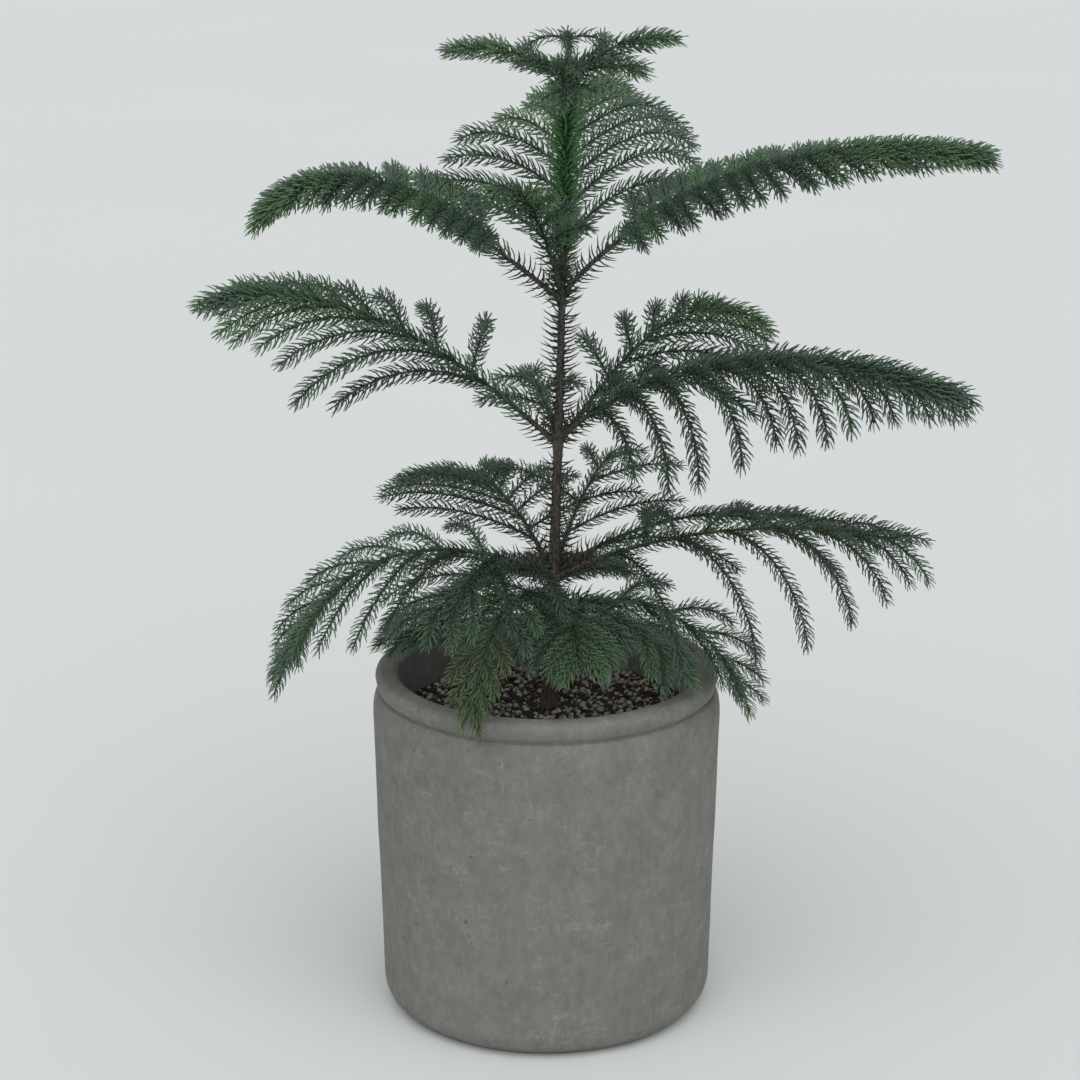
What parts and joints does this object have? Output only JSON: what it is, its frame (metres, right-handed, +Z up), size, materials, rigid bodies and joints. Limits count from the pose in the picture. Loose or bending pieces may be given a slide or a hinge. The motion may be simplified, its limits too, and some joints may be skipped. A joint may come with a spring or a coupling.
{
  "type": "norfolk island pine",
  "caption": "Young potted norfolk island pine: a slim leaning leader with tiers of arching, needled boughs, standing in a round cement pot filled with gritty potting mix.",
  "frame": {"origin": "centre of the pot's flat underside, on the floor it stands on", "axes": "+Z up along the pot's axis; -Y towards the picture's viewer; +X to the viewer's right"},
  "size_m": [0.4055, 0.2517, 0.5111],
  "materials": {
    "cement": "matt cast cement, faintly mottled",
    "soil": "dark crumbly potting mix with pale grit",
    "bark": "rough dark brown bark",
    "needles": "semi-matt dark green needles"
  },
  "bodies": {
    "root": {"leader_shoots": "needles", "pot": "cement", "soil": "soil", "tier_1_bough_1": "bark", "tier_1_bough_2": "bark", "tier_1_bough_3": "bark", "tier_1_bough_4": "bark", "tier_1_bough_5": "bark", "tier_1_bough_6": "bark", "tier_1_foliage_1": "needles", "tier_1_foliage_2": "needles", "tier_1_foliage_3": "needles", "tier_1_foliage_4": "needles", "tier_1_foliage_5": "needles", "tier_1_foliage_6": "needles", "tier_2_bough_1": "bark", "tier_2_bough_2": "bark", "tier_2_bough_3": "bark", "tier_2_bough_4": "bark", "tier_2_bough_5": "bark", "tier_2_bough_6": "bark", "tier_2_foliage_1": "needles", "tier_2_foliage_2": "needles", "tier_2_foliage_3": "needles", "tier_2_foliage_4": "needles", "tier_2_foliage_5": "needles", "tier_2_foliage_6": "needles", "tier_3_bough_1": "bark", "tier_3_bough_2": "bark", "tier_3_bough_3": "bark", "tier_3_bough_4": "bark", "tier_3_foliage_1": "needles", "tier_3_foliage_2": "needles", "tier_3_foliage_3": "needles", "tier_3_foliage_4": "needles", "tier_4_bough_1": "bark", "tier_4_bough_2": "bark", "tier_4_bough_3": "bark", "tier_4_bough_4": "bark", "tier_4_foliage_1": "needles", "tier_4_foliage_2": "needles", "tier_4_foliage_3": "needles", "tier_4_foliage_4": "needles", "tier_5_bough_1": "bark", "tier_5_bough_2": "bark", "tier_5_bough_3": "bark", "tier_5_bough_4": "bark", "tier_5_bough_5": "bark", "tier_5_foliage_1": "needles", "tier_5_foliage_2": "needles", "tier_5_foliage_3": "needles", "tier_5_foliage_4": "needles", "tier_5_foliage_5": "needles", "trunk": "bark", "trunk_needles_1": "needles", "trunk_needles_2": "needles", "trunk_needles_3": "needles"}
  },
  "joints": []
}
